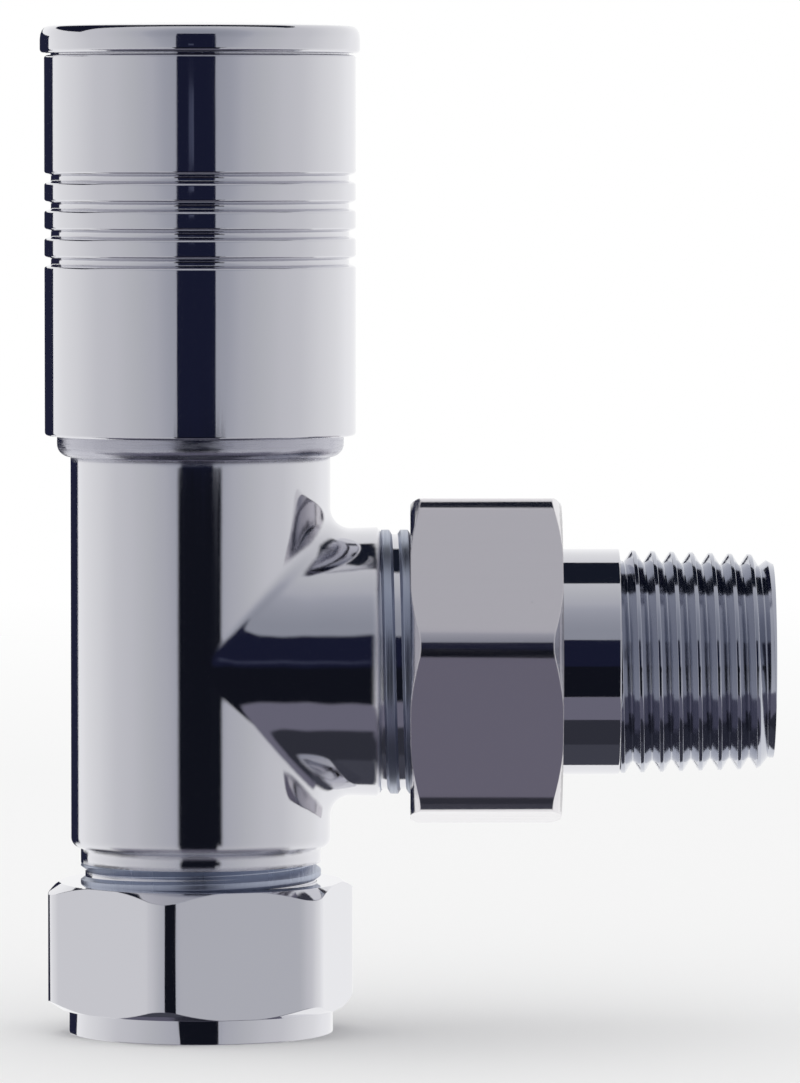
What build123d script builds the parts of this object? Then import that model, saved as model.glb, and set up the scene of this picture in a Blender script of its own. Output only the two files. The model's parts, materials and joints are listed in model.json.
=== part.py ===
from build123d import *
import os
from math import sqrt, tan, radians

# Clearances
pipe_clearance = 0.1
thread_clearance = 0.04
running_clearance = 0.05
seat_clearance = 0.05
sliding_clearance = 0.1

# Pipe and compression end, from the nut's bottom face upwards
pipe_diameter = 15.0
nut_lip_height = 2.4
nut_collar_wall = 4.8
nut_collar_height = 2.3
nut_hex_height = 11.85
nut_wall = 2.3
nut_corner_round = 3.2
nut_corner_angle = 17.3
olive_inset = 0.7
olive_wall = 1.4
olive_entry = 2.25
spigot_wall = 3.275
spigot_reach = 8.0
spigot_lip = 1.575
mouth_angle = 30.0
thread_showing = 1.05
relief_length = 0.8
relief_depth = 0.675
neck_length = 1.4
neck_step = 0.425

# Valve body
barrel_height = 36.7
barrel_wall = 2.66
barrel_edge_round = 0.9
outlet_rise = 17.4
crease_round = 1.9
pipe_stop_rise = 0.6
pipe_stop_step = 2.1
seat_width = 1.5
seat_gutter = 1.5
seat_height = 0.8
seat_drop = 7.8
chamber_step = 1.0

# Branch and union
branch_inset = 0.1
branch_length = 16.85
branch_bore_step = 1.0
branch_edge_chamfer = 0.3
union_shoulder = 0.65
union_thread_length = 11.65
union_nut_gap = 2.85
union_nut_wall = 2.61
union_lip = 2.55
union_mouth = 0.5
union_corner_round = 2.8
union_corner_angle = 21.0

# Tailpiece
tail_thread_radius = 10.48
tail_neck_step = 0.11
tail_neck_length = 8.05
tail_relief_length = 0.9
tail_relief_depth = 0.9
tail_thread_length = 12.35
tail_end_length = 1.2
tail_end_drop = 0.9
tail_wall = 4.68
tail_collar_step = 1.21
tail_collar_length = 2.7
tail_collar_clearance = 0.24
nose_length = 2.9
nose_wall = 1.3
tail_seal_thickness = 1.4
key_across_flats = 12.0
key_depth = 12.0

# Bonnet and gland
bonnet_thread_length = 9.6
bonnet_seal_thickness = 1.3
flange_overhang = 1.25
flange_height = 7.9
flange_round = 1.2
bonnet_hex_wall = 3.9
bonnet_hex_height = 5.0
packing_wall = 2.1
packing_height = 2.5
packing_seat = 0.5
gland_head_wall = 0.9
gland_head_height = 4.5
gland_seal_thickness = 1.4
gland_seal_drop = 2.4

# Spindle and valve disc
spindle_thread_radius = 4.5
spindle_thread_length = 12.0
spindle_stem_step = 1.0
spindle_square = 5.2
button_radius = 2.9
button_height = 1.9
button_neck_radius = 2.0
disc_edge_gap = 0.8
washer_thickness = 2.5
washer_proud = 0.6
washer_rim = 0.75
disc_plate = 1.5
boss_wall = 1.6
boss_height = 6.0
socket_depth = 4.0
clip_thickness = 0.8
clip_grip = 0.55
clip_slot = 1.4
clip_cover = 0.8
washer_screw_radius = 1.5
washer_screw_length = 3.0
screw_head_step = 1.4
screw_head_height = 1.6
screw_slot_width = 0.8
screw_slot_depth = 0.8

# Handwheel
lift = 4.5
collar_showing = 2.0
sleeve_height = 35.6
skirt_wall = 1.05
skirt_step = 0.95
skirt_room = 0.6
sleeve_edge_chamfer = 0.25
groove_count = 4
groove_pitch = 2.6
groove_drop = 11.5
groove_width = 1.0
groove_floor = 0.4
groove_depth = 0.6
cover_recess = 7.7
recess_ledge = 0.4
insert_flange = 3.0
insert_wall = 3.1
insert_rib_count = 6
insert_rib_thickness = 1.4
insert_rib_drop = 6.0
hub_gap = 2.5
hub_roof = 2.0
wheel_washer_thickness = 0.8
wheel_washer_step = 3.0
wheel_screw_radius = 2.0
wheel_screw_length = 9.5
wheel_screw_head_step = 1.5
wheel_screw_head_height = 2.4
cover_overhang = 0.4
cover_gap = 0.15
cover_neck_inset = 0.6
cover_rim_height = 2.5
cover_dome = 0.4
cover_edge_round = 1.2
cover_lower_round = 0.4
cover_spigot_length = 3.2
cover_spigot_wall = 1.0

# Hexagons: chamfer drop at the corners, and the rounding of the inner ones
hex_corner_drop = 0.93
hex_face_margin = 0.1
inner_hex_round = 1.0

# Sides of the O-rings' section
seal_sides = 8


# Shapes shared by several pieces
def turned(*outline):
    profile = make_face(Polyline(*outline, close=True))
    return revolve(Plane.XZ * profile, Axis.Z)


def ring(outer, inner, bottom, top):
    return turned((inner, bottom), (outer, bottom), (outer, top), (inner, top))


def rod(radius, bottom, top):
    return turned((0, bottom), (radius, bottom), (radius, top), (0, top))


def seal_ring(inner, outer, middle):
    section = RegularPolygon((outer - inner) / 2, seal_sides)
    return revolve(Plane.XZ * Pos((inner + outer) / 2, middle) * section, Axis.Z)


def hexagon_prism(across_flats, corner_round, corner_angle, bottom, top):
    outline = RegularPolygon(across_flats / sqrt(3), 6, rotation=corner_angle)
    outline = fillet(outline.vertices(), corner_round)
    return extrude(Pos(0, 0, bottom) * outline, top - bottom)


def chamfered_hexagon(across_flats, corner_round, corner_angle, bottom, top):
    prism = hexagon_prism(across_flats, corner_round, corner_angle, bottom, top)
    face_radius = across_flats / 2 + hex_face_margin
    sharp_radius = across_flats / sqrt(3)
    rounded_radius = sharp_radius - (2 / sqrt(3) - 1) * corner_round
    drop = hex_corner_drop * (sharp_radius - face_radius) / (rounded_radius - face_radius)
    envelope = turned(
        (0, bottom),
        (face_radius, bottom),
        (sharp_radius, bottom + drop),
        (sharp_radius, top - drop),
        (face_radius, top),
        (0, top),
    )
    return prism & envelope


def circles_at(part, radius, height):
    def on_circle(edge):
        return abs(edge.radius - radius) < 1e-4 and abs(edge.center().Z - height) < 1e-4
    return part.edges().filter_by(GeomType.CIRCLE).filter_by(on_circle)


# Radii of the inlet and of the body around it
pipe_bore_radius = pipe_diameter / 2 + pipe_clearance
inlet_thread_radius = pipe_bore_radius + spigot_wall
nut_thread_radius = inlet_thread_radius + thread_clearance
nut_across_flats = 2 * (nut_thread_radius + nut_wall)
nut_collar_radius = pipe_bore_radius + nut_collar_wall
olive_radius = pipe_bore_radius + olive_wall
mouth_radius = inlet_thread_radius - spigot_lip
relief_radius = inlet_thread_radius - relief_depth
neck_radius = inlet_thread_radius + neck_step
waterway_radius = pipe_bore_radius - pipe_stop_step
seat_radius = waterway_radius + seat_width
chamber_radius = seat_radius + seat_gutter
bonnet_bore_radius = chamber_radius + chamber_step + thread_clearance
barrel_radius = bonnet_bore_radius + barrel_wall
bonnet_seal_radius = bonnet_bore_radius + bonnet_seal_thickness

# Heights up the body
nut_hex_top = nut_collar_height + nut_hex_height
spigot_bottom = nut_hex_top - spigot_reach
thread_top = nut_hex_top + thread_showing
relief_top = thread_top + relief_length
barrel_bottom = relief_top + neck_length
barrel_top = barrel_bottom + barrel_height
outlet_height = barrel_bottom + outlet_rise
pipe_stop = barrel_bottom + pipe_stop_rise
seat_top = outlet_height - seat_drop
bonnet_bottom = barrel_top - bonnet_thread_length

# Radii and stations along the outlet
tail_neck_radius = tail_thread_radius + tail_neck_step
tail_collar_radius = tail_neck_radius + tail_collar_step
union_bore_radius = tail_collar_radius + tail_collar_clearance
union_thread_radius = union_bore_radius - thread_clearance
union_across_flats = 2 * (union_bore_radius + union_nut_wall)
branch_end_radius = union_thread_radius + union_shoulder
branch_root_radius = barrel_radius - branch_inset
branch_bore_radius = waterway_radius + branch_bore_step
tail_bore_radius = tail_thread_radius - tail_wall
tail_groove_radius = tail_bore_radius + nose_wall
nose_bore_radius = tail_groove_radius + tail_seal_thickness
branch_end = branch_length + union_thread_length
nose_start = branch_end - nose_length
collar_start = branch_end + seat_clearance
collar_end = collar_start + tail_collar_length
union_start = branch_length + union_nut_gap
lip_start = collar_end + seat_clearance
union_end = lip_start + union_lip
tail_neck_end = collar_end + tail_neck_length
tail_thread_start = tail_neck_end + tail_relief_length
tail_thread_end = tail_thread_start + tail_thread_length
tail_end = tail_thread_end + tail_end_length
along_outlet = Pos(0, 0, outlet_height) * Rotation(0, 90, 0)

# Radii and heights of the bonnet, gland and spindle
bonnet_thread_radius = bonnet_bore_radius - thread_clearance
flange_radius = barrel_radius + flange_overhang
flange_top = barrel_top + flange_height
bonnet_hex_top = flange_top + bonnet_hex_height
stem_radius = spindle_thread_radius - spindle_stem_step
stem_bore_radius = stem_radius + running_clearance
packing_radius = stem_bore_radius + packing_wall
packing_bore_radius = packing_radius + thread_clearance
bonnet_hex_flats = 2 * (packing_bore_radius + bonnet_hex_wall)
spindle_bore_radius = spindle_thread_radius + thread_clearance
spindle_thread_bottom = bonnet_bottom + seat_clearance
spindle_thread_top = spindle_thread_bottom + spindle_thread_length
packing_bottom = spindle_thread_top + lift + packing_seat
packing_top = packing_bottom + packing_height
gland_top = bonnet_hex_top + gland_head_height
gland_flats = 2 * (packing_radius + gland_head_wall)

# Radii and heights of the valve disc
disc_radius = chamber_radius - disc_edge_gap
washer_radius = disc_radius - washer_rim
washer_top = seat_top + washer_thickness
disc_bottom = seat_top + washer_proud
boss_bottom = washer_top + disc_plate
boss_top = boss_bottom + boss_height
socket_radius = button_radius + running_clearance
socket_bottom = boss_top - socket_depth
button_bottom = socket_bottom + seat_clearance
button_top = button_bottom + button_height
clip_bottom = button_top + seat_clearance
clip_top = clip_bottom + clip_thickness
clip_inner_radius = button_neck_radius + sliding_clearance
clip_outer_radius = socket_radius + clip_grip
button_neck_top = clip_top + clip_cover
boss_radius = clip_outer_radius + boss_wall

# Radii and heights of the handwheel
skirt_bore_radius = flange_radius + sliding_clearance
sleeve_radius = skirt_bore_radius + skirt_wall
sleeve_bore_radius = skirt_bore_radius - skirt_step
recess_radius = sleeve_bore_radius + recess_ledge
sleeve_bottom = barrel_top + collar_showing
sleeve_top = sleeve_bottom + sleeve_height
skirt_top = flange_top + skirt_room
ledge_height = sleeve_top - cover_recess
hub_bottom = gland_top + hub_gap
hub_top = ledge_height + insert_flange
spindle_top = ledge_height - hub_roof
washer_seat = ledge_height + seat_clearance
wheel_washer_top = washer_seat + wheel_washer_thickness
wheel_washer_radius = wheel_screw_radius + wheel_washer_step
insert_radius = recess_radius - seat_clearance
socket_half = spindle_square / 2 + running_clearance
hub_radius = socket_half * sqrt(2) + insert_wall
cover_radius = sleeve_radius + cover_overhang
cover_bottom = sleeve_top + cover_gap
cover_rim_top = cover_bottom + cover_rim_height


# Compression end
def compression_nut():
    body = rod(nut_collar_radius, 0, nut_collar_height)
    body += chamfered_hexagon(
        nut_across_flats, nut_corner_round, nut_corner_angle, nut_collar_height, nut_hex_top
    )
    cone_top = nut_lip_height + nut_thread_radius - pipe_bore_radius
    cavity = turned(
        (0, 0),
        (pipe_bore_radius, 0),
        (pipe_bore_radius, nut_lip_height),
        (nut_thread_radius, cone_top),
        (nut_thread_radius, nut_hex_top),
        (0, nut_hex_top),
    )
    return body - cavity


def olive():
    bottom = nut_lip_height + olive_inset
    top = spigot_bottom + olive_entry
    bottom_radius = pipe_bore_radius + olive_inset - seat_clearance * sqrt(2)
    slope = tan(radians(mouth_angle))
    top_radius = mouth_radius - olive_entry * slope - seat_clearance / slope
    return turned(
        (pipe_bore_radius, bottom),
        (bottom_radius, bottom),
        (olive_radius, bottom + olive_radius - bottom_radius),
        (olive_radius, top - (olive_radius - top_radius) / slope),
        (top_radius, top),
        (pipe_bore_radius, top),
    )


# Valve body, a barrel with the branch grown out of it by a rounded crease
def valve_body():
    barrel = rod(barrel_radius, barrel_bottom, barrel_top)
    barrel = fillet(circles_at(barrel, barrel_radius, barrel_bottom), barrel_edge_round)
    branch = turned(
        (0, 0),
        (branch_root_radius, 0),
        (branch_end_radius, branch_length),
        (0, branch_length),
    )
    branch = chamfer(circles_at(branch, branch_end_radius, branch_length), branch_edge_chamfer)
    branch = along_outlet * branch
    body = barrel + branch
    body = fillet(new_edges(barrel, branch, combined=body), crease_round)
    body += turned(
        (0, spigot_bottom),
        (inlet_thread_radius, spigot_bottom),
        (inlet_thread_radius, thread_top),
        (relief_radius, thread_top),
        (relief_radius, relief_top),
        (neck_radius, relief_top),
        (neck_radius, barrel_bottom),
        (0, barrel_bottom),
    )
    body += along_outlet * rod(union_thread_radius, branch_length, branch_end)
    mouth_top = spigot_bottom + (mouth_radius - pipe_bore_radius) / tan(radians(mouth_angle))
    barrel_cavity = turned(
        (0, spigot_bottom),
        (mouth_radius, spigot_bottom),
        (pipe_bore_radius, mouth_top),
        (pipe_bore_radius, pipe_stop),
        (waterway_radius, pipe_stop),
        (waterway_radius, seat_top),
        (seat_radius, seat_top),
        (seat_radius, seat_top - seat_height),
        (chamber_radius, seat_top - seat_height),
        (chamber_radius, bonnet_bottom),
        (bonnet_bore_radius, bonnet_bottom),
        (bonnet_bore_radius, barrel_top - bonnet_seal_thickness),
        (bonnet_seal_radius, barrel_top - bonnet_seal_thickness),
        (bonnet_seal_radius, barrel_top),
        (0, barrel_top),
    )
    branch_cavity = along_outlet * turned(
        (0, 0),
        (branch_bore_radius, 0),
        (branch_bore_radius, nose_start - seat_clearance),
        (nose_bore_radius, nose_start - seat_clearance),
        (nose_bore_radius, branch_end),
        (0, branch_end),
    )
    return body - barrel_cavity - branch_cavity


# Bonnet and gland
def bonnet():
    body = rod(bonnet_thread_radius, bonnet_bottom, barrel_top)
    flange = rod(flange_radius, barrel_top, flange_top)
    body += fillet(circles_at(flange, flange_radius, barrel_top), flange_round)
    body += chamfered_hexagon(bonnet_hex_flats, inner_hex_round, 0, flange_top, bonnet_hex_top)
    body -= rod(spindle_bore_radius, bonnet_bottom, packing_bottom)
    return body - rod(packing_bore_radius, packing_bottom, bonnet_hex_top)


def bonnet_seal():
    middle = barrel_top - bonnet_seal_thickness / 2
    return seal_ring(
        bonnet_thread_radius + seat_clearance, bonnet_seal_radius - seat_clearance, middle
    )


def gland_packing():
    return ring(packing_radius, stem_bore_radius, packing_bottom, packing_top)


def gland_seal_middle():
    return gland_top - gland_seal_drop


def gland_nut():
    body = rod(packing_radius, packing_top, bonnet_hex_top)
    body += chamfered_hexagon(gland_flats, inner_hex_round, 0, bonnet_hex_top, gland_top)
    body -= rod(stem_bore_radius, packing_top, gland_top)
    half_width = gland_seal_thickness / 2 + sliding_clearance
    groove = ring(
        stem_bore_radius + gland_seal_thickness,
        stem_radius,
        gland_seal_middle() - half_width,
        gland_seal_middle() + half_width,
    )
    return body - groove


def gland_o_ring():
    outer = stem_bore_radius + gland_seal_thickness - seat_clearance
    return seal_ring(stem_bore_radius, outer, gland_seal_middle())


# Spindle and valve disc
def spindle():
    body = turned(
        (0, button_bottom),
        (button_radius, button_bottom),
        (button_radius, button_top),
        (button_neck_radius, button_top),
        (button_neck_radius, button_neck_top),
        (button_radius, button_neck_top),
        (button_radius, spindle_thread_bottom),
        (spindle_thread_radius, spindle_thread_bottom),
        (spindle_thread_radius, spindle_thread_top),
        (stem_radius, spindle_thread_top),
        (stem_radius, hub_bottom),
        (0, hub_bottom),
    )
    square = extrude(Pos(0, 0, hub_bottom) * Rectangle(spindle_square, spindle_square),
                     spindle_top - hub_bottom)
    body += square & rod(stem_radius, hub_bottom, spindle_top)
    hole_bottom = wheel_washer_top - wheel_screw_length - seat_clearance
    return body - rod(wheel_screw_radius + thread_clearance, hole_bottom, spindle_top)


def valve_disc():
    body = turned(
        (0, washer_top),
        (washer_radius, washer_top),
        (washer_radius, disc_bottom),
        (disc_radius, disc_bottom),
        (disc_radius, boss_bottom),
        (boss_radius, boss_bottom),
        (boss_radius, boss_top),
        (0, boss_top),
    )
    body -= rod(socket_radius, socket_bottom, boss_top)
    body -= ring(
        clip_outer_radius, button_neck_radius, clip_bottom - seat_clearance, clip_top + seat_clearance
    )
    screw_hole_top = washer_top + washer_screw_length + seat_clearance
    return body - rod(washer_screw_radius + thread_clearance, washer_top, screw_hole_top)


def seat_washer():
    inner = washer_screw_radius + running_clearance
    return ring(washer_radius - seat_clearance, inner, seat_top, washer_top)


def washer_screw():
    head_bottom = seat_top - screw_head_height
    body = rod(washer_screw_radius + screw_head_step, head_bottom, seat_top)
    body += rod(washer_screw_radius, seat_top, washer_top + washer_screw_length)
    slot_span = 2 * (washer_screw_radius + screw_head_step)
    slot = extrude(Pos(0, 0, head_bottom) * Rectangle(slot_span, screw_slot_width), screw_slot_depth)
    return body - slot


def disc_clip():
    clip = ring(clip_outer_radius - seat_clearance, clip_inner_radius, clip_bottom, clip_top)
    mouth = Pos(0, 0, clip_bottom) * Rectangle(
        clip_outer_radius, clip_slot, align=(Align.MIN, Align.CENTER)
    )
    return clip - extrude(mouth, clip_thickness)


# Handwheel
def cap_sleeve():
    body = turned(
        (skirt_bore_radius, sleeve_bottom),
        (sleeve_radius, sleeve_bottom),
        (sleeve_radius, sleeve_top),
        (recess_radius, sleeve_top),
        (recess_radius, ledge_height),
        (sleeve_bore_radius, ledge_height),
        (sleeve_bore_radius, skirt_top),
        (skirt_bore_radius, skirt_top),
    )
    rims = circles_at(body, sleeve_radius, sleeve_bottom) + circles_at(body, sleeve_radius, sleeve_top)
    body = chamfer(rims, sleeve_edge_chamfer)
    groove = turned(
        (sleeve_radius - groove_depth, -groove_floor / 2),
        (sleeve_radius + groove_depth, groove_floor / 2 - groove_width),
        (sleeve_radius + groove_depth, groove_width - groove_floor / 2),
        (sleeve_radius - groove_depth, groove_floor / 2),
    )
    for turn in range(groove_count):
        body -= Pos(0, 0, sleeve_top - groove_drop - turn * groove_pitch) * groove
    return body


def drive_insert():
    body = rod(insert_radius, ledge_height, hub_top)
    body += rod(hub_radius, hub_bottom, ledge_height)
    rib = Pos(0, 0, ledge_height - insert_rib_drop) * Rectangle(
        sleeve_bore_radius - sliding_clearance, insert_rib_thickness, align=(Align.MIN, Align.CENTER)
    )
    for place in PolarLocations(0, insert_rib_count):
        body += place * extrude(rib, insert_rib_drop)
    body -= extrude(Pos(0, 0, hub_bottom) * Rectangle(2 * socket_half, 2 * socket_half),
                    spindle_top + seat_clearance - hub_bottom)
    body -= rod(wheel_screw_radius + sliding_clearance, hub_bottom, hub_top)
    return body - rod(wheel_washer_radius + sliding_clearance, washer_seat, hub_top)


def wheel_washer():
    inner = wheel_screw_radius + sliding_clearance
    return ring(wheel_washer_radius, inner, washer_seat, wheel_washer_top)


def wheel_screw():
    head_top = wheel_washer_top + wheel_screw_head_height
    body = rod(wheel_screw_radius, wheel_washer_top - wheel_screw_length, wheel_washer_top)
    body += rod(wheel_screw_radius + wheel_screw_head_step, wheel_washer_top, head_top)
    slot_span = 2 * (wheel_screw_radius + wheel_screw_head_step)
    slot = Pos(0, 0, head_top - screw_slot_depth) * Rectangle(slot_span, screw_slot_width)
    return body - extrude(slot, screw_slot_depth)


def cap_cover():
    dome_radius = (cover_radius**2 + cover_dome**2) / (2 * cover_dome)
    disc = rod(cover_radius, cover_bottom, cover_rim_top + cover_dome)
    disc &= Pos(0, 0, cover_rim_top + cover_dome - dome_radius) * Sphere(dome_radius)
    disc = fillet(circles_at(disc, cover_radius, cover_rim_top), cover_edge_round)
    disc = fillet(circles_at(disc, cover_radius, cover_bottom), cover_lower_round)
    neck = rod(sleeve_radius - cover_neck_inset, sleeve_top, cover_bottom)
    spigot_outer = recess_radius - seat_clearance
    spigot_inner = spigot_outer - cover_spigot_wall
    spigot = rod(spigot_outer, sleeve_top - cover_spigot_length, sleeve_top)
    hollow = rod(spigot_inner, sleeve_top - cover_spigot_length, cover_bottom)
    return disc + neck + spigot - hollow


# Union and tail
def union_nut():
    body = chamfered_hexagon(
        union_across_flats, union_corner_round, union_corner_angle, union_start, union_end
    )
    cavity = turned(
        (0, union_start),
        (union_bore_radius + union_mouth, union_start),
        (union_bore_radius, union_start + union_mouth),
        (union_bore_radius, lip_start),
        (tail_neck_radius + sliding_clearance, lip_start),
        (tail_neck_radius + sliding_clearance, union_end),
        (0, union_end),
    )
    return along_outlet * (body - cavity)


def tail_seal_middle():
    return (nose_start + collar_start) / 2


def tailpiece():
    half_groove = tail_seal_thickness / 2 + sliding_clearance
    nose_radius = nose_bore_radius - sliding_clearance
    body = turned(
        (tail_bore_radius, nose_start),
        (nose_radius, nose_start),
        (nose_radius, tail_seal_middle() - half_groove),
        (tail_groove_radius, tail_seal_middle() - half_groove),
        (tail_groove_radius, tail_seal_middle() + half_groove),
        (nose_radius, tail_seal_middle() + half_groove),
        (nose_radius, collar_start),
        (tail_collar_radius, collar_start),
        (tail_collar_radius, collar_end),
        (tail_neck_radius, collar_end),
        (tail_neck_radius, tail_neck_end),
        (tail_thread_radius - tail_relief_depth, tail_neck_end),
        (tail_thread_radius - tail_relief_depth, tail_thread_start),
        (tail_thread_radius, tail_thread_start),
        (tail_thread_radius, tail_thread_end),
        (tail_thread_radius - tail_end_drop, tail_end),
        (tail_bore_radius, tail_end),
    )
    key_outline = RegularPolygon(key_across_flats / sqrt(3), 6)
    body -= extrude(Pos(0, 0, tail_end - key_depth) * key_outline, key_depth)
    return along_outlet * body


def tail_seal():
    inner = tail_groove_radius + seat_clearance
    outer = nose_bore_radius - seat_clearance
    return along_outlet * seal_ring(inner, outer, tail_seal_middle())


pieces = [
    compression_nut, olive, valve_body,
    bonnet, bonnet_seal, gland_packing, gland_nut, gland_o_ring,
    spindle, valve_disc, seat_washer, washer_screw, disc_clip,
    cap_sleeve, drive_insert, wheel_washer, wheel_screw, cap_cover,
    union_nut, tailpiece, tail_seal,
]

os.makedirs("parts", exist_ok=True)
for piece in pieces:
    export_step(piece(), f"parts/{piece.__name__}.step")
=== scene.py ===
import json
import math

import bmesh
import bpy
from mathutils import Matrix, Vector


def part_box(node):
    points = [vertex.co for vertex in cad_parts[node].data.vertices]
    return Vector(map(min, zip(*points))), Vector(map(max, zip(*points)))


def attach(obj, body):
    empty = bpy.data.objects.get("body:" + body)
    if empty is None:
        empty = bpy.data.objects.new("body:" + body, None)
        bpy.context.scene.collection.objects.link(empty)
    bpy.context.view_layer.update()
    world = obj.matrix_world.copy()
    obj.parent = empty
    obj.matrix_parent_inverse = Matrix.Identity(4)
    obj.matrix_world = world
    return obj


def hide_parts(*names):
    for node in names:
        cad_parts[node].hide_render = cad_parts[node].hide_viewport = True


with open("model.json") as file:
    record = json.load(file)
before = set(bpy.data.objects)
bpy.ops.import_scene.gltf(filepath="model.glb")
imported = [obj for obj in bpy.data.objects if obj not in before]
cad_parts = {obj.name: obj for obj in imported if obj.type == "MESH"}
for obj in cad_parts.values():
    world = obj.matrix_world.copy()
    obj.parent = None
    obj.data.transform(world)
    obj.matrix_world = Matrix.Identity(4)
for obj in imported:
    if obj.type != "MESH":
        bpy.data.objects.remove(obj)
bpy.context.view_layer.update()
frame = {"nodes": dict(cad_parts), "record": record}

mm = 0.001
record = frame["record"]
mounts = {mount["name"]: mount for mount in record["mounts"]}
outletHeight = mounts["radiator_tail"]["pos_m"][2] / mm
upright = Matrix.Identity(4)
outletAxis = Matrix.Translation((0, 0, outletHeight * mm)) @ Matrix.Rotation(math.pi / 2, 4, "Y")


def nodeSpan(node):
    low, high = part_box(node)
    return [value / mm for value in low], [value / mm for value in high]


# Colour and node helpers

def hexColour(code):
    channels = [int(code[i:i + 2], 16) / 255 for i in (1, 3, 5)]
    linear = [c / 12.92 if c <= 0.04045 else ((c + 0.055) / 1.055) ** 2.4 for c in channels]
    return (*linear, 1.0)


def addNode(tree, kind, inputs=None, **settings):
    node = tree.nodes.new(kind)
    for name, value in settings.items():
        setattr(node, name, value)
    for socket, value in (inputs or {}).items():
        if isinstance(value, bpy.types.NodeSocket):
            tree.links.new(value, node.inputs[socket])
        else:
            node.inputs[socket].default_value = value
    return node


def newMaterial(name):
    material = bpy.data.materials.new(name)
    material.use_nodes = True
    material.node_tree.nodes.clear()
    return material, material.node_tree


# Materials

# electroplated chrome over turned brass: a cool mirror with faint polishing lines, soft ripples and rare pits
chromeLook = {
    "tint": "#DDDDE2", "roughness": (0.03, 0.07), "lineWidth": 0.35, "lineLength": 14.0, "lineDepth": 0.0006,
    "ripple": 7.0, "rippleDepth": 0.004, "pitSpacing": 5.5, "pitSize": 0.022, "pitDepth": 0.02, "edge": 0.12,
    "edgeSamples": 6,
}
# the nuts' flats were only linished before plating: the same chrome with a satin grain
satinLook = dict(chromeLook, tint="#D9D6DA", roughness=(0.10, 0.20), lineWidth=0.16, lineDepth=0.0012,
                 edge=0.18)
# the cast body: the same chrome, its crease and corners rounded over by polishing
bodyLook = dict(chromeLook, edge=0.8)
# the collar under the cap carries the marks of the spanner: dull chrome with scuffs all round
scuffedLook = dict(chromeLook, tint="#BEBEC8", roughness=(0.14, 0.36), lineWidth=0.16, lineLength=3.0,
                   lineDepth=0.006, ripple=1.8, rippleDepth=0.05, edge=0.15)
# plated threads: thin, slightly blue chrome over cut flanks that still show the tool's marks
threadLook = dict(chromeLook, tint="#BABDC8", roughness=(0.06, 0.16), lineWidth=0.12, lineDepth=0.002,
                  edge=0.05)

# the body's threads were left as cut and only flashed with chrome: a duller, bluer grey
dullThreadLook = dict(threadLook, tint="#B4BBCB", roughness=(0.26, 0.42))


# the polishing lines run along lineAxes
def chromePlate(name, look, lineAxes):
    material, tree = newMaterial(name)
    coords = addNode(tree, "ShaderNodeTexCoord").outputs["Object"]
    stretch = [1 / (look["lineLength" if axis in lineAxes else "lineWidth"] * mm) for axis in "XYZ"]
    lineCoords = addNode(tree, "ShaderNodeMapping", {"Vector": coords, "Scale": stretch})
    lines = addNode(tree, "ShaderNodeTexNoise", {
        "Vector": lineCoords.outputs[0], "Scale": 1.0, "Detail": 3.0})
    ripple = addNode(tree, "ShaderNodeTexNoise", {
        "Vector": coords, "Scale": 1 / (look["ripple"] * mm), "Detail": 1.0})
    cells = addNode(tree, "ShaderNodeTexVoronoi", {"Vector": coords, "Scale": 1 / (look["pitSpacing"] * mm)})
    pits = addNode(tree, "ShaderNodeMapRange", {
        "Value": cells.outputs["Distance"], "From Min": 0.0, "From Max": look["pitSize"],
        "To Min": 0.0, "To Max": 1.0})
    roughness = addNode(tree, "ShaderNodeMapRange", {
        "Value": lines.outputs["Fac"], "From Min": 0.3, "From Max": 0.7,
        "To Min": look["roughness"][0], "To Max": look["roughness"][1]})
    softEdge = addNode(tree, "ShaderNodeBevel", {"Radius": look["edge"] * mm}, samples=look["edgeSamples"])
    wave = addNode(tree, "ShaderNodeBump", {
        "Height": ripple.outputs["Fac"], "Distance": look["rippleDepth"] * mm, "Strength": 1.0,
        "Normal": softEdge.outputs[0]})
    grain = addNode(tree, "ShaderNodeBump", {
        "Height": lines.outputs["Fac"], "Distance": look["lineDepth"] * mm, "Strength": 1.0,
        "Normal": wave.outputs[0]})
    dimple = addNode(tree, "ShaderNodeBump", {
        "Height": pits.outputs[0], "Distance": look["pitDepth"] * mm, "Strength": 1.0,
        "Normal": grain.outputs[0]})
    shader = addNode(tree, "ShaderNodeBsdfPrincipled", {
        "Base Color": hexColour(look["tint"]), "Metallic": 1.0, "Roughness": roughness.outputs[0],
        "Normal": dimple.outputs[0]})
    addNode(tree, "ShaderNodeOutputMaterial", {"Surface": shader.outputs[0]})
    return material


# the inner pieces: bright turned brass, dull black rubber, waxy white and pale plastics, grey zinc
plainLooks = {
    "turnedBrass": {
        "tint": "#C9A45C", "metallic": 1.0, "roughness": 0.28, "grain": 0.4, "grainDepth": 0.004},
    "nitrileRubber": {
        "tint": "#1B1B1C", "metallic": 0.0, "roughness": 0.62, "grain": 0.25, "grainDepth": 0.01},
    "turnedPtfe": {
        "tint": "#ECECE6", "metallic": 0.0, "roughness": 0.45, "grain": 0.5, "grainDepth": 0.006},
    "mouldedAbs": {
        "tint": "#DEDED8", "metallic": 0.0, "roughness": 0.4, "grain": 0.3, "grainDepth": 0.006},
    "zincPlatedSteel": {
        "tint": "#B4B8BD", "metallic": 1.0, "roughness": 0.32, "grain": 0.5, "grainDepth": 0.004},
}
roughnessSpread = 0.2


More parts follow.
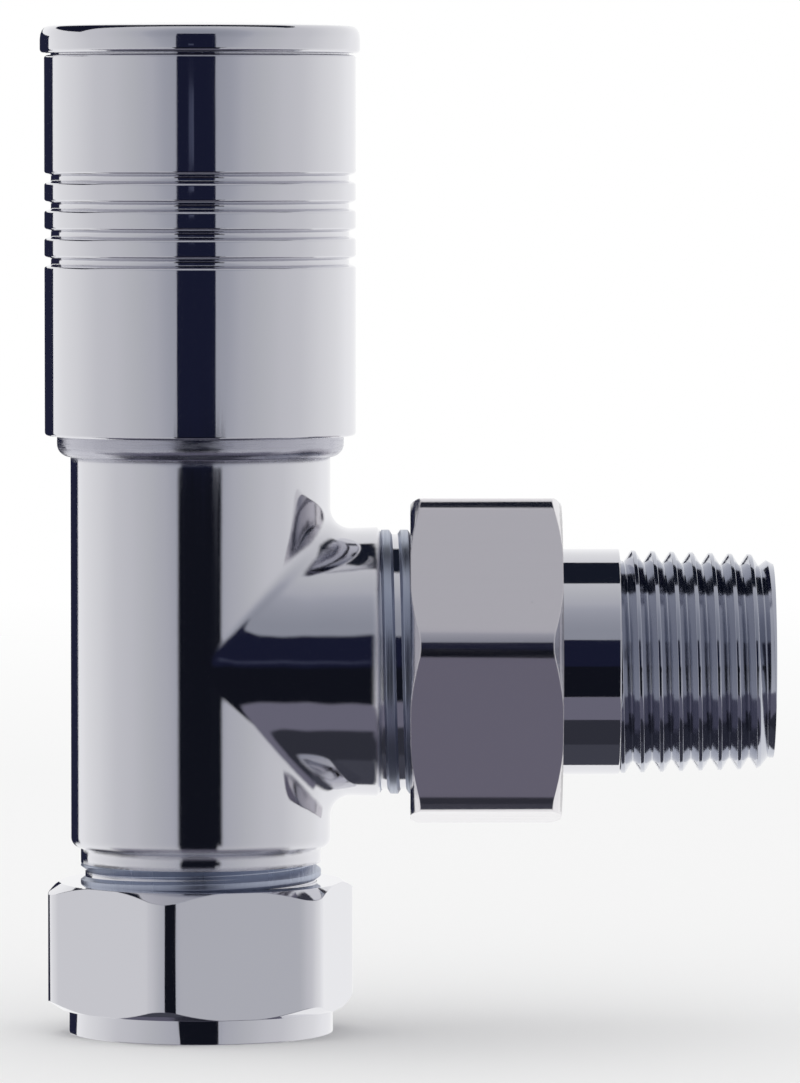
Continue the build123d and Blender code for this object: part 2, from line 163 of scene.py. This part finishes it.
def plainFinish(name, look):
    material, tree = newMaterial(name)
    coords = addNode(tree, "ShaderNodeTexCoord").outputs["Object"]
    grain = addNode(tree, "ShaderNodeTexNoise", {
        "Vector": coords, "Scale": 1 / (look["grain"] * mm), "Detail": 3.0})
    bump = addNode(tree, "ShaderNodeBump", {
        "Height": grain.outputs["Fac"], "Distance": look["grainDepth"] * mm, "Strength": 1.0})
    roughness = addNode(tree, "ShaderNodeMapRange", {
        "Value": grain.outputs["Fac"], "To Min": look["roughness"] * (1 - roughnessSpread),
        "To Max": look["roughness"] * (1 + roughnessSpread)})
    shader = addNode(tree, "ShaderNodeBsdfPrincipled", {
        "Base Color": hexColour(look["tint"]), "Metallic": look["metallic"],
        "Roughness": roughness.outputs[0], "Normal": bump.outputs[0]})
    addNode(tree, "ShaderNodeOutputMaterial", {"Surface": shader.outputs[0]})
    return material


chromeUpright = chromePlate("polishedChromeUpright", chromeLook, "Z")
chromeAlong = chromePlate("polishedChromeAlong", chromeLook, "X")
bodyChrome = chromePlate("polishedChromeBody", bodyLook, "Z")
scuffedChrome = chromePlate("scuffedChrome", scuffedLook, "XY")
satinAlong = chromePlate("satinChromeAlong", satinLook, "X")
threadChrome = chromePlate("threadChrome", threadLook, "YZ")
dullChrome = chromePlate("dullThreadChrome", dullThreadLook, "YZ")
finishes = {name: plainFinish(name, look) for name, look in plainLooks.items()}
slotFinish = {
    "chrome_plate": chromeUpright, "bare_brass": finishes["turnedBrass"],
    "seal_rubber": finishes["nitrileRubber"], "packing_ptfe": finishes["turnedPtfe"],
    "insert_plastic": finishes["mouldedAbs"], "zinc_steel": finishes["zincPlatedSteel"],
}
print("materials made")


# CAD pieces that keep their shape

cadFinish = {"mergeDistance": 0.0005, "sharpAngle": 32.0}


def dressNode(node, material):
    piece = frame["nodes"][node]
    piece.data.materials.clear()
    piece.data.materials.append(material)
    piece.data.polygons.foreach_set("use_smooth", [True] * len(piece.data.polygons))
    weld = piece.modifiers.new("weld", "WELD")
    weld.merge_threshold = cadFinish["mergeDistance"] * mm
    split = piece.modifiers.new("split", "EDGE_SPLIT")
    split.split_angle = math.radians(cadFinish["sharpAngle"])
    weighted = piece.modifiers.new("weighted", "WEIGHTED_NORMAL")
    weighted.keep_sharp = True


for subpart in record["subparts"]:
    dressNode(subpart["node"], slotFinish[subpart["material_slot"]])
for node, finish in (("union_nut", satinAlong), ("bonnet", scuffedChrome), ("valve_body", bodyChrome)):
    frame["nodes"][node].data.materials[0] = finish
print("frame dressed")


# Turned pieces: an outline of (radius, height) points in mm, its corners rounded, spun round the axis

turning = {"steps": 144, "sharpAngle": 35.0, "cornerSegments": 4, "mergeDistance": 0.0004}


def wireOutline(bm, points, closed=True):
    verts = [bm.verts.new((radius * mm, 0, height * mm)) for radius, height in points]
    pairs = list(zip(verts, verts[1:] + verts[:1] if closed else verts[1:]))
    for first, second in pairs:
        bm.edges.new((first, second))
    return verts


def roundCorners(bm, verts, radius, segments=None):
    bmesh.ops.bevel(bm, geom=verts, offset=radius * mm, offset_type="OFFSET", affect="VERTICES",
                    segments=segments or turning["cornerSegments"], profile=0.5, material=-1)


def spinRound(bm):
    bmesh.ops.spin(bm, geom=bm.verts[:] + bm.edges[:], cent=(0, 0, 0), axis=(0, 0, 1), angle=math.tau,
                   steps=turning["steps"], use_merge=True)


def finishMesh(bm, matrix):
    bmesh.ops.remove_doubles(bm, verts=bm.verts[:], dist=turning["mergeDistance"] * mm)
    bmesh.ops.recalc_face_normals(bm, faces=bm.faces[:])
    bmesh.ops.transform(bm, matrix=matrix, verts=bm.verts[:])


def newPiece(name, bm, material, body):
    mesh = bpy.data.meshes.new(name)
    bm.to_mesh(mesh)
    bm.free()
    mesh.materials.append(material)
    mesh.polygons.foreach_set("use_smooth", [True] * len(mesh.polygons))
    mesh.set_sharp_from_angle(angle=math.radians(turning["sharpAngle"]))
    piece = bpy.data.objects.new(name, mesh)
    bpy.context.scene.collection.objects.link(piece)
    weighted = piece.modifiers.new("weighted", "WEIGHTED_NORMAL")
    weighted.keep_sharp = True
    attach(piece, body)
    return piece


# Handwheel sleeve: a tube with four flat-bottomed grip grooves

sleeveLook = {
    "bore": 12.6, "recess": 13.0, "recessDepth": 7.7, "skirtBore": 13.55, "skirtHeight": 6.5,
    "edgeRound": 0.3, "grooves": 4, "grooveDrop": 11.5, "groovePitch": 2.6,
    "grooveWidth": 1.0, "grooveFloor": 0.46, "grooveDepth": 0.62, "floorRound": 0.08, "landRound": 0.16,
}


def makeSleeve():
    low, high = nodeSpan("cap_sleeve")
    bottom, top, radius = low[2], high[2], high[0]
    ledge, skirtTop = top - sleeveLook["recessDepth"], bottom + sleeveLook["skirtHeight"]
    bm = bmesh.new()
    inner = [
        (sleeveLook["recess"], top), (sleeveLook["recess"], ledge), (sleeveLook["bore"], ledge),
        (sleeveLook["bore"], skirtTop), (sleeveLook["skirtBore"], skirtTop),
        (sleeveLook["skirtBore"], bottom),
    ]
    outer = [(radius, bottom)]
    for groove in reversed(range(sleeveLook["grooves"])):
        middle = top - sleeveLook["grooveDrop"] - groove * sleeveLook["groovePitch"]
        outer.append((radius, middle - sleeveLook["grooveWidth"] / 2))
        outer.append((radius - sleeveLook["grooveDepth"], middle - sleeveLook["grooveFloor"] / 2))
        outer.append((radius - sleeveLook["grooveDepth"], middle + sleeveLook["grooveFloor"] / 2))
        outer.append((radius, middle + sleeveLook["grooveWidth"] / 2))
    outer.append((radius, top))
    verts = wireOutline(bm, outer + inner)
    grooveCorners = verts[1:len(outer) - 1]
    floors = grooveCorners[1::4] + grooveCorners[2::4]
    lands = grooveCorners[0::4] + grooveCorners[3::4]
    rims = [verts[0], verts[len(outer) - 1]]
    roundCorners(bm, floors, sleeveLook["floorRound"])
    roundCorners(bm, lands, sleeveLook["landRound"])
    roundCorners(bm, rims, sleeveLook["edgeRound"])
    spinRound(bm)
    finishMesh(bm, upright)
    piece = newPiece("gripSleeve", bm, chromeUpright, "handwheel")
    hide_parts("cap_sleeve")


# Cover: a shallow dome with a rolled rim, its neck and spigot inside the sleeve

coverLook = {
    "dome": 0.4, "rimHeight": 2.5, "rimRound": 1.2, "underRound": 0.4, "neckHeight": 0.15, "neckInset": 1.0,
    "spigotInset": 2.05, "spigotWall": 1.0, "domeSteps": 20,
}


def makeCover():
    low, high = nodeSpan("cap_cover")
    bottom, top, radius = low[2], high[2], high[0]
    rimTop = top - coverLook["dome"]
    rimBottom = rimTop - coverLook["rimHeight"]
    neckBottom = rimBottom - coverLook["neckHeight"]
    domeRadius = (radius ** 2 + coverLook["dome"] ** 2) / (2 * coverLook["dome"])
    spigot = radius - coverLook["spigotInset"]
    bm = bmesh.new()
    crown = bm.verts.new((0, 0, top * mm))
    bmesh.ops.spin(bm, geom=[crown], cent=(0, 0, (top - domeRadius) * mm), axis=(0, 1, 0),
                   angle=math.asin(radius / domeRadius), steps=coverLook["domeSteps"])
    rim = max(bm.verts, key=lambda vert: vert.co.x)
    rest = wireOutline(bm, [
        (radius, rimBottom), (radius - coverLook["neckInset"], rimBottom),
        (radius - coverLook["neckInset"], neckBottom), (spigot, neckBottom), (spigot, bottom),
        (spigot - coverLook["spigotWall"], bottom), (spigot - coverLook["spigotWall"], rimBottom),
        (0, rimBottom),
    ], closed=False)
    bm.edges.new((rim, rest[0]))
    roundCorners(bm, [rim], coverLook["rimRound"])
    roundCorners(bm, rest[:1], coverLook["underRound"])
    spinRound(bm)
    finishMesh(bm, upright)
    piece = newPiece("domedCover", bm, chromeUpright, "handwheel")
    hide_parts("cap_cover")


makeSleeve()
makeCover()
print("handwheel turned")


# Screw threads: one pitch of the V wound round the axis, cut square at both ends

threading = {"stepsPerTurn": 96, "rootFlat": 0.12, "rounding": 0.04, "roundSegments": 2}


def windThread(bm, thread):
    half = thread["pitch"] / 2
    crest, root = thread["crest"], thread["crest"] - thread["depth"]
    start = thread["start"] - thread["pitch"] * (1 + thread["phase"])
    verts = wireOutline(bm, [
        (root, start - half), (root, start - half + threading["rootFlat"] / 2),
        (crest, start - thread["crestFlat"] / 2), (crest, start + thread["crestFlat"] / 2),
        (root, start + half - threading["rootFlat"] / 2), (root, start + half),
    ], closed=False)
    roundCorners(bm, verts[1:5], threading["rounding"], threading["roundSegments"])
    turns = math.ceil((thread["end"] - start) / thread["pitch"]) + 1
    steps = threading["stepsPerTurn"]
    bmesh.ops.spin(bm, geom=bm.verts[:] + bm.edges[:], cent=(0, 0, 0), axis=(0, 0, 1),
                   dvec=(0, 0, thread["pitch"] * mm / steps), angle=math.tau * turns, steps=steps * turns)
    bmesh.ops.remove_doubles(bm, verts=bm.verts[:], dist=turning["mergeDistance"] * mm)


def setRadius(vert, radius):
    reach = math.hypot(vert.co.x, vert.co.y)
    vert.co.x *= radius / reach
    vert.co.y *= radius / reach


# taper along the thread, and a cone that turns the crests down at each end
def shapeThread(bm, thread):
    for vert in bm.verts:
        along = vert.co.z / mm
        reach = math.hypot(vert.co.x, vert.co.y) / mm
        reach -= (along - thread["start"]) * thread["taper"]
        lead = thread["crest"] - thread["leadDrop"] + (along - thread["start"]) * thread["leadSlope"]
        tail = thread["crest"] - thread["endDrop"] + (thread["end"] - along) * thread["endSlope"]
        setRadius(vert, max(min(reach, lead, tail), thread["core"]) * mm)


def trimThread(bm, thread):
    for height, outward in ((thread["start"], -1), (thread["end"], 1)):
        bmesh.ops.bisect_plane(bm, geom=bm.verts[:] + bm.edges[:] + bm.faces[:], dist=1e-8,
                               plane_co=(0, 0, height * mm), plane_no=(0, 0, outward), clear_outer=True)
        rim = [edge for edge in bm.edges if edge.is_boundary
               and all(abs(vert.co.z - height * mm) < 1e-7 for vert in edge.verts)]
        inward = bmesh.ops.extrude_edge_only(bm, edges=rim)["geom"]
        for vert in inward:
            if isinstance(vert, bmesh.types.BMVert):
                setRadius(vert, thread["core"] * mm)


def makeThread(bm, thread):
    windThread(bm, thread)
    shapeThread(bm, thread)
    trimThread(bm, thread)


# Tail: turned core with a hexagon key socket, and its taper thread

tailLook = {
    "bore": 5.8, "noseRadius": 8.4, "noseLength": 2.95, "collarRadius": 11.8, "collarLength": 2.7,
    "neckRadius": 10.59, "neckLength": 8.05, "keyFlats": 12.0, "keyDepth": 12.0, "edgeRound": 0.12,
    "thread": {"pitch": 1.814, "crestFlat": 0.34, "depth": 1.05, "taper": 1 / 32, "phase": 0.77,
               "leadDrop": 0.0, "leadSlope": 2.5, "endDrop": 1.3, "endSlope": 0.55},
}


def makeTail():
    low, high = nodeSpan("tailpiece")
    start, end = low[0], high[0]
    collarStart = start + tailLook["noseLength"]
    collarEnd = collarStart + tailLook["collarLength"]
    neckEnd = collarEnd + tailLook["neckLength"]
    crest = mounts["radiator_tail"]["dims"]["r_mm"]
    core = crest - tailLook["thread"]["depth"] - (end - neckEnd) * tailLook["thread"]["taper"]
    bm = bmesh.new()
    verts = wireOutline(bm, [
        (tailLook["bore"], start), (tailLook["noseRadius"], start), (tailLook["noseRadius"], collarStart),
        (tailLook["collarRadius"], collarStart), (tailLook["collarRadius"], collarEnd),
        (tailLook["neckRadius"], collarEnd), (tailLook["neckRadius"], neckEnd), (core, neckEnd), (core, end),
        (tailLook["bore"], end),
    ])
    roundCorners(bm, [verts[6]], tailLook["edgeRound"])
    spinRound(bm)
    finishMesh(bm, upright)
    socket = bmesh.new()
    keyCorner = tailLook["keyFlats"] / math.sqrt(3) * mm
    bmesh.ops.create_cone(socket, cap_ends=True, segments=6, radius1=keyCorner, radius2=keyCorner,
                          depth=2 * tailLook["keyDepth"] * mm, matrix=Matrix.Translation((0, 0, end * mm)))
    cutMesh(bm, socket)
    thread = dict(tailLook["thread"], crest=crest, core=core, start=neckEnd, end=end)
    ridge = bmesh.new()
    makeThread(ridge, thread)
    finishMesh(ridge, outletAxis)
    bmesh.ops.transform(bm, matrix=outletAxis, verts=bm.verts[:])
    body = newPiece("tailCore", bm, chromeAlong, "tailpiece")
    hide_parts("tailpiece")
    newPiece("tailThread", ridge, threadChrome, "tailpiece")


def cutMesh(bm, cutter):
    shapes = []
    for source in (bm, cutter):
        mesh = bpy.data.meshes.new("cut")
        source.to_mesh(mesh)
        shape = bpy.data.objects.new("cut", mesh)
        bpy.context.scene.collection.objects.link(shape)
        shapes.append(shape)
    cutter.free()
    cut = shapes[0].modifiers.new("cut", "BOOLEAN")
    cut.operation = "DIFFERENCE"
    cut.solver = "EXACT"
    cut.object = shapes[1]
    result = bpy.data.meshes.new_from_object(shapes[0].evaluated_get(bpy.context.evaluated_depsgraph_get()))
    bm.clear()
    bm.from_mesh(result)
    for mesh in [result] + [shape.data for shape in shapes]:
        bpy.data.meshes.remove(mesh)


# Threads of the body: the union's thread on the branch and the nut's on the inlet

bodyThreads = {
    "unionThread": {"pitch": 1.75, "crestFlat": 0.7, "crest": 12.4, "depth": 0.75, "core": 11.6,
                    "reach": 11.85, "endGap": 0.05, "phase": 0.1, "taper": 0.0,
                    "leadDrop": 0.2, "leadSlope": 1.0, "endDrop": 0.8, "endSlope": 0.8},
    "inletThread": {"pitch": 1.814, "crestFlat": 0.5, "crest": 11.3, "depth": 0.8, "core": 10.45,
                    "reach": 9.7, "endGap": 0.4, "phase": 0.35, "taper": 0.0,
                    "leadDrop": 0.8, "leadSlope": 0.8, "endDrop": 0.3, "endSlope": 1.0},
}


def makeBodyThreads():
    low, high = nodeSpan("valve_body")
    union = dict(bodyThreads["unionThread"])
    union.update(start=high[0] - union["reach"], end=high[0] - union["endGap"])
    ridge = bmesh.new()
    makeThread(ridge, union)
    finishMesh(ridge, outletAxis)
    newPiece("unionThread", ridge, dullChrome, "valve_body")
    inlet = dict(bodyThreads["inletThread"])
    inletStart = low[2] + inlet["endGap"]
    inlet.update(start=inletStart, end=inletStart + inlet["reach"])
    ridge = bmesh.new()
    makeThread(ridge, inlet)
    finishMesh(ridge, upright)
    newPiece("inletThread", ridge, dullChrome, "valve_body")


makeTail()
makeBodyThreads()
print("threads cut")


# Stage: floor, soft studio light, dark cards round the camera

studio = {
    "floorRadius": 700.0, "floorFade": 300.0, "floorTint": "#F6F6F6",
    "background": "#FFFFFF", "fill": "#FFFFFF", "fillStrength": 1.0,
    "floorSegments": 96, "roomSegments": 96, "cardSteps": 24,
    "cardDistance": 1000.0, "cardCentre": (0.0, 0.0, 46.0),
    "cards": {
        "cameraFlag": {"azimuth": (-15.5, 12.6), "elevation": (-1.8, 25.0), "tint": "#1B1E33"},
        "lowerFlag": {"azimuth": (-18.3, 19.8), "elevation": (-7.6, -1.8), "tint": "#14161F"},
        "footFlag": {"azimuth": (-17.6, 16.3), "elevation": (-33.0, -7.6), "tint": "#14161F"},
        "flashTube": {"azimuth": (-6.7, -3.0), "elevation": (1.75, 2.95), "tint": "#474B60",
                      "distance": 990.0},
        "leftFlag": {"azimuth": (-164.0, -100.0), "elevation": (26.0, 62.0), "tint": "#1A1C2C"},
        "rearFlag": {"azimuth": (-172.0, -138.0), "elevation": (-15.0, 9.0), "tint": "#23253A"},
        "overheadFlag": {"azimuth": (100.0, 260.0), "elevation": (54.0, 89.5), "tint": "#1A1E2A"},
        "lowReflector": {"azimuth": (-100.0, 100.0), "elevation": (-58.0, -33.0), "tint": "#737180"},
        # the two cards straight below the object: dark sheets seen only in the chrome's reflections, painted
        # shade standing in for the shadowed floor under the object
        "floorShadeFront": {"azimuth": (-90.0, 90.0), "elevation": (-89.5, -58.0), "tint": "#35363F"},
        "floorShadeBack": {"azimuth": (90.0, 270.0), "elevation": (-89.5, -52.0), "tint": "#464751"},
    },
    "roomDistance": 1500.0, "roomAxis": (0.0, -1.0, 0.5),
    "roomTints": {-1.12: "#FFFFFF", -0.74: "#FFFFFF", -0.5: "#F5F5F5", -0.19: "#EBEBEC", 0.17: "#DADADD",
                  0.46: "#D3D3D7", 0.7: "#C7C8CC", 0.866: "#BCBDC4", 0.94: "#AEB0B9", 1.1: "#999CA6"},
}


def stageObject(name, bm, material):
    mesh = bpy.data.meshes.new(name)
    bm.to_mesh(mesh)
    bm.free()
    mesh.materials.append(material)
    piece = bpy.data.objects.new(name, mesh)
    bpy.context.scene.collection.objects.link(piece)
    return piece


def makeFloor():
    material, tree = newMaterial("paleFloor")
    coords = addNode(tree, "ShaderNodeTexCoord").outputs["Object"]
    reach = addNode(tree, "ShaderNodeVectorMath", {0: coords}, operation="LENGTH")
    fade = addNode(tree, "ShaderNodeMapRange", {
        "Value": reach.outputs["Value"], "From Min": studio["floorFade"] * mm,
        "From Max": studio["floorRadius"] * mm})
    matt = addNode(tree, "ShaderNodeBsdfDiffuse", {"Color": hexColour(studio["floorTint"])})
    clear = addNode(tree, "ShaderNodeBsdfTransparent")
    mix = addNode(tree, "ShaderNodeMixShader", {0: fade.outputs[0], 1: matt.outputs[0], 2: clear.outputs[0]})
    addNode(tree, "ShaderNodeOutputMaterial", {"Surface": mix.outputs[0]})
    bm = bmesh.new()
    bmesh.ops.create_circle(bm, cap_ends=True, radius=studio["floorRadius"] * mm,
                            segments=studio["floorSegments"])
    floor = stageObject("floor", bm, material)
    floor.visible_glossy = False


def hideFromView(piece):
    piece.visible_camera = False
    piece.visible_diffuse = False
    piece.visible_shadow = False
    piece.visible_transmission = False


# the studio as the chrome mirrors it: white behind the object, greyer towards the camera's side
def makeRoom():
    material, tree = newMaterial("roomCloth")
    coords = addNode(tree, "ShaderNodeTexCoord").outputs["Object"]
    ray = addNode(tree, "ShaderNodeVectorMath", {0: coords}, operation="NORMALIZE")
    toward = addNode(tree, "ShaderNodeVectorMath", {0: ray.outputs[0], 1: studio["roomAxis"]},
                     operation="DOT_PRODUCT")
    reach = Vector(studio["roomAxis"]).length
    place = addNode(tree, "ShaderNodeMapRange", {
        "Value": toward.outputs["Value"], "From Min": -reach, "From Max": reach})
    ramp = addNode(tree, "ShaderNodeValToRGB", {"Fac": place.outputs[0]})
    stops = ramp.color_ramp.elements
    while len(stops) < len(studio["roomTints"]):
        stops.new(1.0)
    for stop, (along, tint) in zip(stops, sorted(studio["roomTints"].items())):
        stop.position = (along + reach) / (2 * reach)
        stop.color = hexColour(tint)
    glow = addNode(tree, "ShaderNodeEmission", {"Color": ramp.outputs[0], "Strength": 1.0})
    addNode(tree, "ShaderNodeOutputMaterial", {"Surface": glow.outputs[0]})
    material.cycles.emission_sampling = "NONE"
    bm = bmesh.new()
    bmesh.ops.create_uvsphere(bm, u_segments=studio["roomSegments"], v_segments=studio["roomSegments"] // 2,
                              radius=studio["roomDistance"] * mm)
    hideFromView(stageObject("room", bm, material))


def makeCard(name, card):
    material, tree = newMaterial(name + "Cloth")
    glow = addNode(tree, "ShaderNodeEmission", {"Color": hexColour(card["tint"]), "Strength": 1.0})
    addNode(tree, "ShaderNodeOutputMaterial", {"Surface": glow.outputs[0]})
    material.cycles.emission_sampling = "NONE"
    distance = card.get("distance", studio["cardDistance"]) * mm
    centre = Vector(studio["cardCentre"]) * mm
    low, high = [math.radians(angle) for angle in card["elevation"]]
    first, last = [math.radians(angle) for angle in card["azimuth"]]
    bm = bmesh.new()
    start = bm.verts.new(centre + distance * Vector((
        math.sin(first) * math.cos(low), -math.cos(first) * math.cos(low), math.sin(low))))
    tilt = Vector((math.cos(first), math.sin(first), 0))
    bmesh.ops.spin(bm, geom=[start], cent=centre, axis=tilt, angle=low - high, steps=studio["cardSteps"])
    bmesh.ops.spin(bm, geom=bm.verts[:] + bm.edges[:], cent=centre, axis=(0, 0, 1), angle=last - first,
                   steps=studio["cardSteps"])
    hideFromView(stageObject(name, bm, material))


def makeWorld():
    world = bpy.data.worlds.new("softStudio")
    bpy.context.scene.world = world
    world.use_nodes = True
    tree = world.node_tree
    tree.nodes.clear()
    path = addNode(tree, "ShaderNodeLightPath")
    seen = addNode(tree, "ShaderNodeMath", {
        0: path.outputs["Is Camera Ray"], 1: path.outputs["Is Glossy Ray"]}, operation="MAXIMUM")
    shown = addNode(tree, "ShaderNodeMath", {
        0: seen.outputs[0], 1: path.outputs["Is Transmission Ray"]}, operation="MAXIMUM")
    fill = addNode(tree, "ShaderNodeBackground", {
        "Color": hexColour(studio["fill"]), "Strength": studio["fillStrength"]})
    backdrop = addNode(tree, "ShaderNodeBackground", {
        "Color": hexColour(studio["background"]), "Strength": 1.0})
    mix = addNode(tree, "ShaderNodeMixShader", {
        0: shown.outputs[0], 1: fill.outputs[0], 2: backdrop.outputs[0]})
    addNode(tree, "ShaderNodeOutputWorld", {"Surface": mix.outputs[0]})


makeFloor()
makeRoom()
for name, card in studio["cards"].items():
    makeCard(name, card)
makeWorld()
bpy.context.scene.view_settings.view_transform = "Standard"
print("stage set")


# Camera at the photograph's angle

cameraSetup = {
    "aim": (18.73, 0.0, 46.1), "distance": 751.0, "pitch": 2.9, "viewHeight": 101.7, "sensor": 36.0,
    "clip": (50.0, 10000.0),
}


def makeCamera():
    data = bpy.data.cameras.new("camera")
    data.sensor_width = cameraSetup["sensor"]
    data.lens = cameraSetup["sensor"] * cameraSetup["distance"] / cameraSetup["viewHeight"]
    data.clip_start, data.clip_end = [distance * mm for distance in cameraSetup["clip"]]
    camera = bpy.data.objects.new("camera", data)
    pitch = math.radians(cameraSetup["pitch"])
    back = Vector((0, -math.cos(pitch), math.sin(pitch)))
    camera.location = (Vector(cameraSetup["aim"]) + back * cameraSetup["distance"]) * mm
    camera.rotation_euler = (math.pi / 2 - pitch, 0, 0)
    bpy.context.scene.collection.objects.link(camera)
    bpy.context.scene.camera = camera


makeCamera()
print("camera placed")
